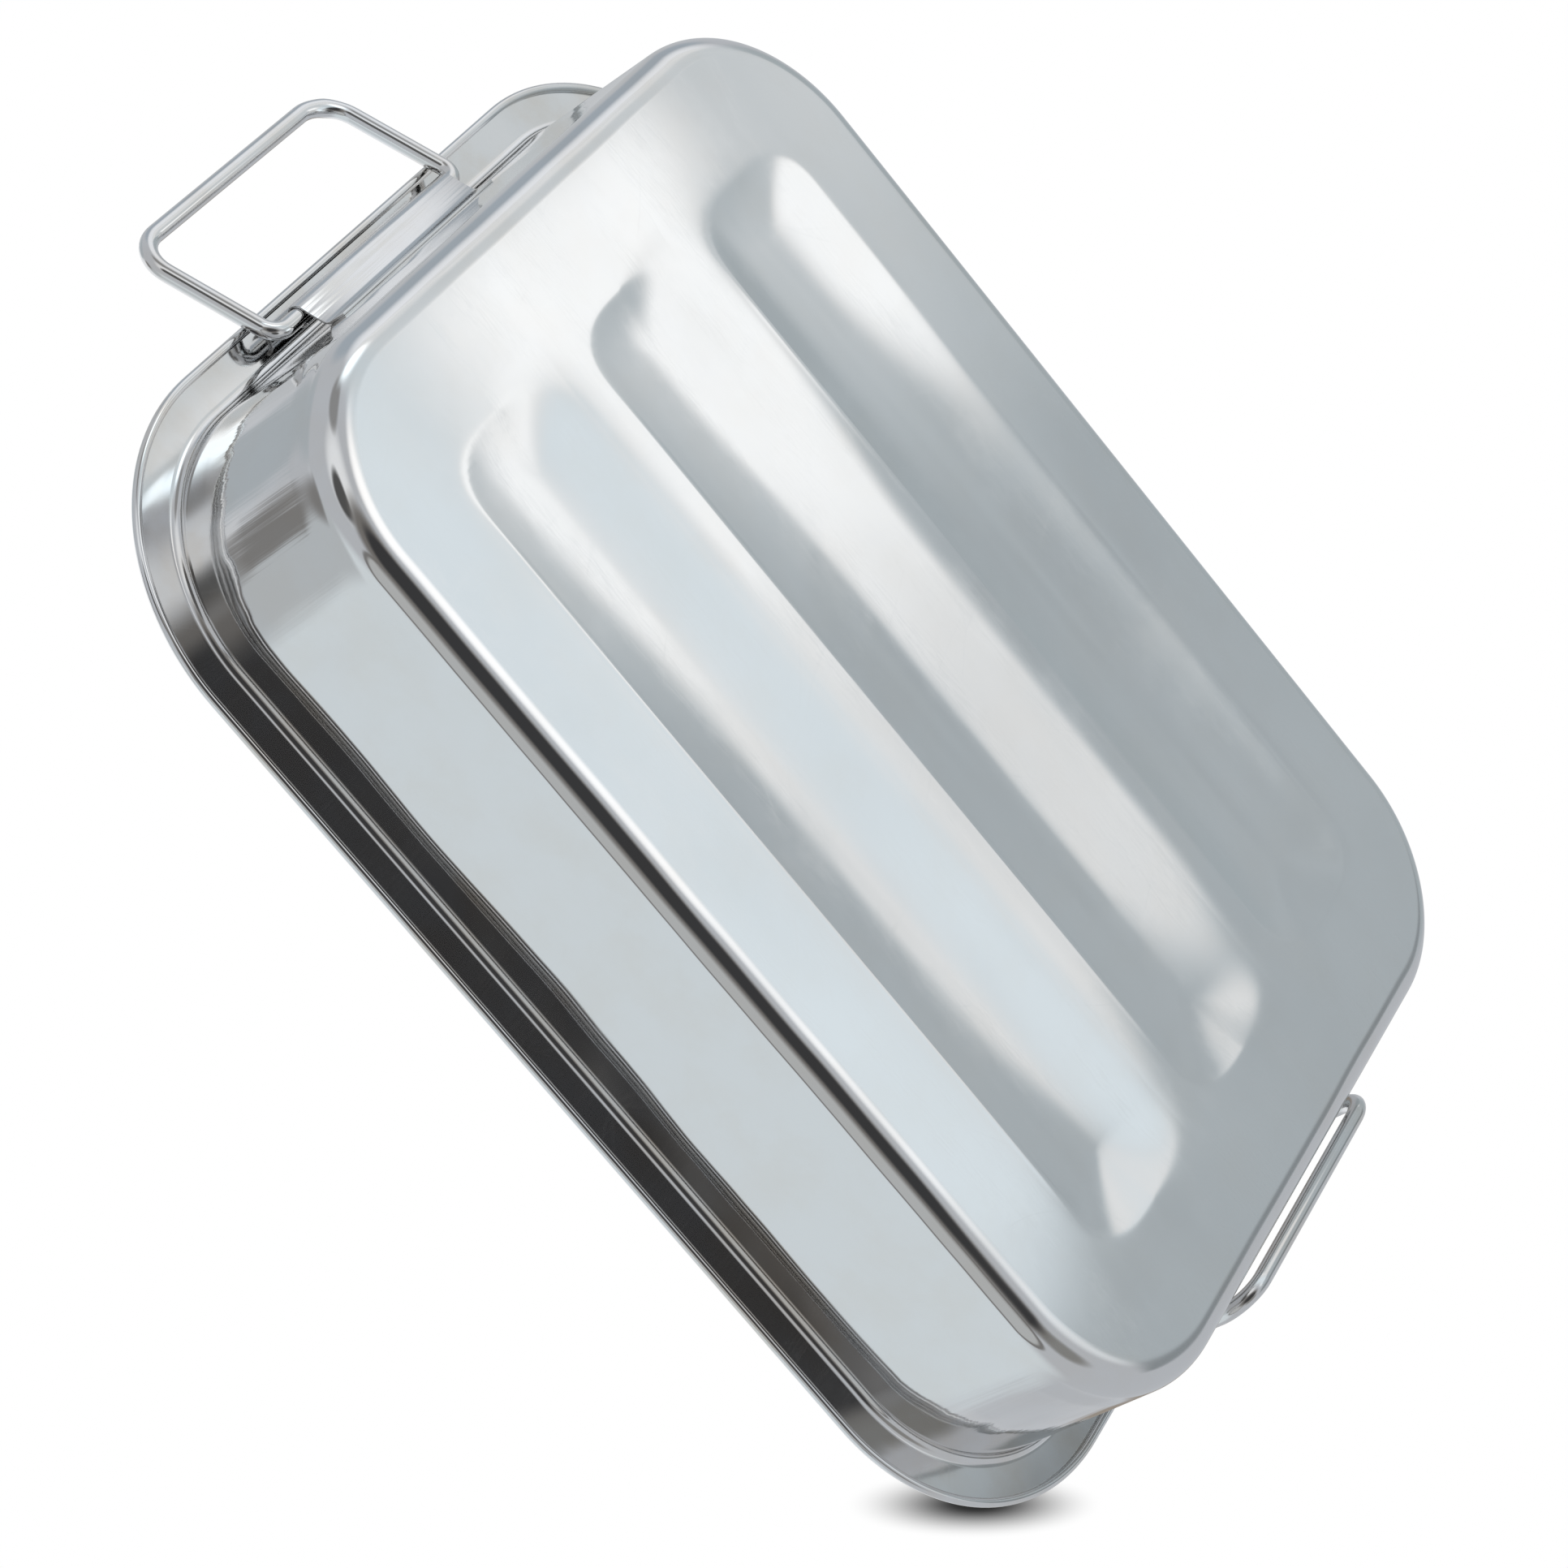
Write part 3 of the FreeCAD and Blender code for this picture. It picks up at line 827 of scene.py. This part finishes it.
drawn_wire = steel_finish("drawn_wire", roughness=0.11, ripple=60.0, ripple_depth=0.01, brush=(60.0, 1500.0),
                          brush_depth=0.0002, film_cover=0.22, marks=1.0, use_map=True)
for finish in (satin_base, polished_wall, brushed_flange, satin_inside):
    pan_shell.data.materials.append(finish)
for piece in (right_fold, left_fold):
    piece.data.materials.append(bracket_steel)
for piece in (right_wire, left_wire):
    piece.data.materials.append(drawn_wire)
print("finishes", [m.name for m in bpy.data.materials if m.users])

# %% [markdown]
# ## Studio
# Polished steel shows nothing but its surroundings, so the light is the larger half of its look. The
# surroundings are painted on the world as soft lobes round directions: large pale panels, a bright
# top light, and the dark room behind the camera that the flange and the bends pick up. The camera
# itself sees plain white.

# %% World of soft panels
world = bpy.data.worlds.new("studio")
bpy.context.scene.world = world
world.use_nodes = True
sky = world.node_tree
sky.nodes.clear()
way = add(sky, "TexCoord", {}).outputs["Generated"]


def panel(colour, under, direction, full, none):
    """Paints a soft round panel over what is there: full inside one angle, gone by the other."""
    aim = Vector(direction).normalized()
    facing = add(sky, "VectorMath", {0: way, 1: tuple(aim)}, operation="DOT_PRODUCT").outputs["Value"]
    share = soft_step(sky, facing, math.cos(math.radians(none)), math.cos(math.radians(full)))
    return mix_colour(sky, share, under, (*colour, 1.0))


# Each panel is a colour, a direction, and the angles in degrees where it is full and where it ends.
# A later one covers an earlier one: those above the pan come first, then the ones below it.
PANELS = [
    ((0.95, 0.97, 1.0), (0.0, 0.0, 1.0), 28, 52),
    ((0.75, 0.81, 0.84), (-0.19, -0.79, 0.58), 24, 46),
    ((0.47, 0.51, 0.54), (0.72, 0.12, 0.68), 10, 24),
    ((0.54, 0.57, 0.59), (0.32, -0.63, 0.66), 12, 26),
    ((0.24, 0.235, 0.23), (0.56, -0.47, 0.68), 2, 14),
    ((0.56, 0.58, 0.60), (0.29, 0.70, 0.65), 10, 22),
    ((0.32, 0.28, 0.24), (-0.38, 0.58, 0.72), 3, 18),
    ((0.42, 0.47, 0.52), (0.68, 0.72, 0.0), 14, 26),
    ((0.95, 0.97, 1.0), (0.52, 0.72, -0.42), 6, 26),
    ((0.84, 0.88, 0.91), (-0.15, 0.66, -0.72), 24, 40),
    ((0.90, 0.92, 0.94), (0.62, -0.42, -0.68), 10, 32),
    ((0.30, 0.30, 0.30), (0.80, 0.14, -0.58), 8, 15),
    ((0.10, 0.10, 0.10), (0.576, -0.596, -0.56), 10, 17),
    ((0.44, 0.49, 0.515), (-0.20, 0.96, -0.20), 18, 29),
    ((0.44, 0.49, 0.515), (-0.46, 0.66, -0.59), 8, 14),
    ((1.36, 1.36, 1.36), (0.0, 0.39, -0.92), 5, 23),
    ((0.22, 0.215, 0.21), (-0.22, -0.93, -0.30), 21, 24),
    ((0.52, 0.53, 0.53), (-0.22, -0.93, -0.30), 16.5, 20),
    ((0.27, 0.27, 0.262), (-0.58, -0.40, -0.71), 8, 20),
    ((0.20, 0.19, 0.18), (-0.02, -0.56, -0.83), 19, 34),
    ((0.05, 0.05, 0.052), (-0.10, -0.515, -0.857), 14, 23),
]
ROOM, WHITE = (0.55, 0.57, 0.60, 1.0), (1.0, 1.0, 1.0, 1.0)
light = ROOM
for colour, direction, full, none in PANELS:
    light = panel(colour, light, direction, full, none)
seen = add(sky, "LightPath", {})
shown = mix_colour(sky, seen.outputs["Is Camera Ray"], light, WHITE)
background = add(sky, "Background", {"Color": shown, "Strength": 1.0})
sky.links.new(background.outputs[0], add(sky, "OutputWorld", {}).inputs["Surface"])
bpy.context.scene.view_settings.view_transform = "Standard"
print(len(PANELS), "panels on the world")

# %% [markdown]
# ## Light card under the base
# The base mirrors something close to it: its bright patch shifts from groove to groove, as only a near
# card can make it. A card a hand's width under the pan is brightest in one strip, dims towards one end
# and falls to grey at the far side. It can only be seen in reflections.

# %% Light card
CARD_DROP = 0.13
CARD_LOW, CARD_HIGH, CARD_SOFT = (-0.42, -0.05), (0.40, 0.44), (0.06, 0.05, 0.06)


def flat_card(name, low, high, z):
    mesh = bpy.data.meshes.new(name)
    mesh.from_pydata([(low[0], low[1], z), (high[0], low[1], z), (high[0], high[1], z), (low[0], high[1], z)],
                     [], [(0, 1, 2, 3)])
    card = bpy.data.objects.new(name, mesh)
    bpy.context.scene.collection.objects.link(card)
    return card


light_card = flat_card("light_card", CARD_LOW, CARD_HIGH, -CARD_DROP)
light_card.visible_camera = False
light_card.visible_diffuse = False
light_card.visible_shadow = False
print("card", CARD_DROP, "m under the base")

# %% [markdown]
# ## Brightness over the card
# A lamp in a soft box would give one even patch. The base in the photograph mirrors a strip with
# steps, a dim end and a bright corner, so the brightness is painted from soft steps along both sides
# of the card. Each pair of numbers says where a change starts and where it ends, in metres.

# %% Brightness over the card
FIRST_STEP, FIRST_SHIFT = (0.0, 0.08), 0.042
SECOND_STEP, SECOND_SHIFT = (0.10, 0.14), 0.030
FAR_EDGE, STRIP_END = (0.164, 0.126), (0.180, 0.145)
GREY_RUN, GREY_LEVELS = (-0.06, 0.13), (0.50, 0.74)
MIDDLE_X, MIDDLE_Y = (-0.06, 0.07), (0.05, 0.105)
PALE_LEVEL, MIDDLE_GAIN = 0.92, 0.30
DIM_SLANT, DIM_EDGE, DIM_LEVEL = -0.35, (-0.212, -0.172), 0.51
BRIGHT_END, BRIGHT_GAIN = (0.235, 0.285), 1.2
DARK_END, DARK_GAIN = (-0.285, -0.245), 0.58
SPOT_PLACE, SPOT_EDGE, SPOT_GAIN = (0.31, 0.03), (0.07, 0.02), 0.9
CLOUD_SCALE, CLOUD_SPAN, CLOUD_GAIN = (9.0, 30.0, 1.0), (0.25, 0.75), (0.94, 1.06)

glow = bpy.data.materials.new("card_glow")
glow.use_nodes = True
tree = glow.node_tree
tree.nodes.clear()
card_place = add(tree, "TexCoord", {}).outputs["Object"]
card_x, card_y, _ = add(tree, "SeparateXYZ", {0: card_place}).outputs
stepped = maths(tree, "SUBTRACT", card_y, soft_step(tree, card_x, *FIRST_STEP, 0.0, FIRST_SHIFT))
stepped = maths(tree, "SUBTRACT", stepped, soft_step(tree, card_x, *SECOND_STEP, 0.0, SECOND_SHIFT))
strip = maths(tree, "MULTIPLY", soft_step(tree, stepped, *FAR_EDGE), soft_step(tree, card_x, *STRIP_END))
grey = soft_step(tree, card_x, *GREY_RUN, *GREY_LEVELS)
middle = maths(tree, "MULTIPLY", soft_step(tree, card_x, *MIDDLE_X), soft_step(tree, card_y, *MIDDLE_Y))
pale = maths(tree, "MULTIPLY_ADD", middle, MIDDLE_GAIN, PALE_LEVEL)
level = maths(tree, "MULTIPLY_ADD", strip, maths(tree, "SUBTRACT", pale, grey), grey)
lit = soft_step(tree, maths(tree, "MULTIPLY_ADD", card_y, DIM_SLANT, card_x), *DIM_EDGE)
level = maths(tree, "MULTIPLY_ADD", lit, maths(tree, "SUBTRACT", level, DIM_LEVEL), DIM_LEVEL)
level = maths(tree, "MULTIPLY", level, soft_step(tree, card_x, *BRIGHT_END, 1.0, BRIGHT_GAIN))
level = maths(tree, "MULTIPLY", level, soft_step(tree, card_x, *DARK_END, DARK_GAIN, 1.0))
from_spot = add(tree, "CombineXYZ", {0: maths(tree, "SUBTRACT", card_x, SPOT_PLACE[0]),
                                     1: maths(tree, "SUBTRACT", card_y, SPOT_PLACE[1])})
to_spot = add(tree, "VectorMath", {0: from_spot.outputs[0]}, operation="LENGTH").outputs["Value"]
level = maths(tree, "ADD", level, soft_step(tree, to_spot, *SPOT_EDGE, 0.0, SPOT_GAIN))
drift = add(tree, "VectorMath", {0: card_place, 1: CLOUD_SCALE}, operation="MULTIPLY").outputs[0]
clouds = add(tree, "TexNoise", {"Vector": drift, "Scale": 1.0, "Detail": 3.0, "Roughness": 0.6})
level = maths(tree, "MULTIPLY", level, soft_step(tree, clouds.outputs["Fac"], *CLOUD_SPAN, *CLOUD_GAIN))
print("brightness from", len(tree.nodes), "nodes")

# %% [markdown]
# ## Colour and edge of the card
# The dim parts of the card are a little bluish, as daylight beside a lamp is. A hard edge would show
# as a line in the bends, so the card fades to clear along its border.

# %% Colour and edge of the card
BLUISH, PLAIN = (0.92, 1.01, 1.06, 1.0), (0.99, 1.0, 1.0, 1.0)
PLAIN_LEVELS, PLAIN_FROM = (0.5, 0.95), (0.03, 0.08)
soft_x, soft_low, soft_high = CARD_SOFT
neutral = maths(tree, "MULTIPLY", soft_step(tree, level, *PLAIN_LEVELS), soft_step(tree, card_y, *PLAIN_FROM))
tone = mix_colour(tree, neutral, BLUISH, PLAIN)
inside_x = maths(tree, "MULTIPLY", soft_step(tree, card_x, CARD_LOW[0], CARD_LOW[0] + soft_x),
                 soft_step(tree, card_x, CARD_HIGH[0], CARD_HIGH[0] - soft_x))
inside_y = maths(tree, "MULTIPLY", soft_step(tree, card_y, CARD_LOW[1], CARD_LOW[1] + soft_low),
                 soft_step(tree, card_y, CARD_HIGH[1], CARD_HIGH[1] - soft_high))
emission = add(tree, "Emission", {"Color": tone, "Strength": level})
blend = add(tree, "MixShader", {0: maths(tree, "MULTIPLY", inside_x, inside_y),
                                1: add(tree, "BsdfTransparent", {}).outputs[0], 2: emission.outputs[0]})
tree.links.new(blend.outputs[0], add(tree, "OutputMaterial", {}).inputs["Surface"])
light_card.data.materials.append(glow)
print("light on the card of", len(tree.nodes), "nodes")

# %% [markdown]
# ## Floor
# The pan stands on a plain pale floor. The photograph's camera is under it, so the floor shows only
# its upper face, fades out with distance and stays out of the reflections below the base.

# %% Pale floor
FLOOR_GAP, FLOOR_HALF = 0.0004, 1.6
FLOOR_FADE = (0.45, 1.5)
FLOOR_TONES = (0.86, 0.86, 0.86, 1.0), (0.9, 0.9, 0.9, 1.0)
floor = flat_card("floor", (-FLOOR_HALF, -FLOOR_HALF), (FLOOR_HALF, FLOOR_HALF), -FLOOR_GAP)
floor.visible_glossy = False
floor.visible_diffuse = False
floor.visible_shadow = False
pale_floor = bpy.data.materials.new("pale_floor")
pale_floor.use_nodes = True
tree = pale_floor.node_tree
paint = tree.nodes["Principled BSDF"]
paint.inputs["Roughness"].default_value = 0.6
place = add(tree, "TexCoord", {}).outputs["Object"]
grain = add(tree, "TexNoise", {"Vector": place, "Scale": 240.0, "Detail": 3.0})
tree.links.new(mix_colour(tree, grain.outputs["Fac"], *FLOOR_TONES), paint.inputs["Base Color"])
away = add(tree, "VectorMath", {0: place}, operation="LENGTH").outputs["Value"]
faded = soft_step(tree, away, *FLOOR_FADE)
hidden = maths(tree, "MAXIMUM", faded, add(tree, "NewGeometry", {}).outputs["Backfacing"])
through = add(tree, "BsdfTransparent", {})
blend = add(tree, "MixShader", {0: hidden, 1: paint.outputs[0], 2: through.outputs[0]})
tree.links.new(blend.outputs[0], tree.nodes["Material Output"].inputs["Surface"])
floor.data.materials.append(pale_floor)
print("floor", FLOOR_GAP, "m under the base")

# %% [markdown]
# ## Contact shadow
# In the photograph the pan stands on a rim corner, and the table under that corner shows as a small
# soft ellipse. A level card just past the rim carries it. The card is painted on its lower face only,
# so it shows from under the pan and nowhere else.

# %% Contact shadow
SHADOW_PLACE, SHADOW_HEIGHT = (-0.1695, -0.1218), 0.066
SHADOW_LOW, SHADOW_HIGH, SHADOW_TONE = (-0.24, -0.19), (-0.10, -0.06), (0.03, 0.03, 0.03, 1.0)
SHADOW_RIGHT, SHADOW_DOWN = (-2886.0, 1914.0), (-3336.0, -3158.0)
SHADOW_FLATNESS, SHADOW_DARK, SHADOW_REACH = 3.75, 20.0, 160.0
shadow_card = flat_card("shadow_card", SHADOW_LOW, SHADOW_HIGH, SHADOW_HEIGHT)
for ray in ("diffuse", "glossy", "shadow", "transmission"):
    setattr(shadow_card, "visible_" + ray, False)
shade = bpy.data.materials.new("contact_shade")
shade.use_nodes = True
tree = shade.node_tree
tree.nodes.clear()
shadow_place = add(tree, "TexCoord", {}).outputs["Object"]
from_middle = add(tree, "VectorMath", {0: shadow_place, 1: (*SHADOW_PLACE, SHADOW_HEIGHT)}, operation="SUBTRACT")
sideways, downward = [add(tree, "VectorMath", {0: from_middle.outputs[0], 1: (*axis, 0.0)},
                          operation="DOT_PRODUCT").outputs["Value"] for axis in (SHADOW_RIGHT, SHADOW_DOWN)]
squashed = add(tree, "CombineXYZ", {0: sideways, 1: maths(tree, "MULTIPLY", downward, SHADOW_FLATNESS)})
away = add(tree, "VectorMath", {0: squashed.outputs[0]}, operation="LENGTH").outputs["Value"]
cover = soft_step(tree, away, SHADOW_REACH, SHADOW_DARK)
from_below = add(tree, "NewGeometry", {}).outputs["Backfacing"]
blend = add(tree, "MixShader", {0: maths(tree, "MULTIPLY", cover, from_below),
                                1: add(tree, "BsdfTransparent", {}).outputs[0],
                                2: add(tree, "Emission", {"Color": SHADOW_TONE}).outputs[0]})
tree.links.new(blend.outputs[0], add(tree, "OutputMaterial", {}).inputs["Surface"])
shadow_card.data.materials.append(shade)
print("shadow card under the corner at", SHADOW_PLACE)
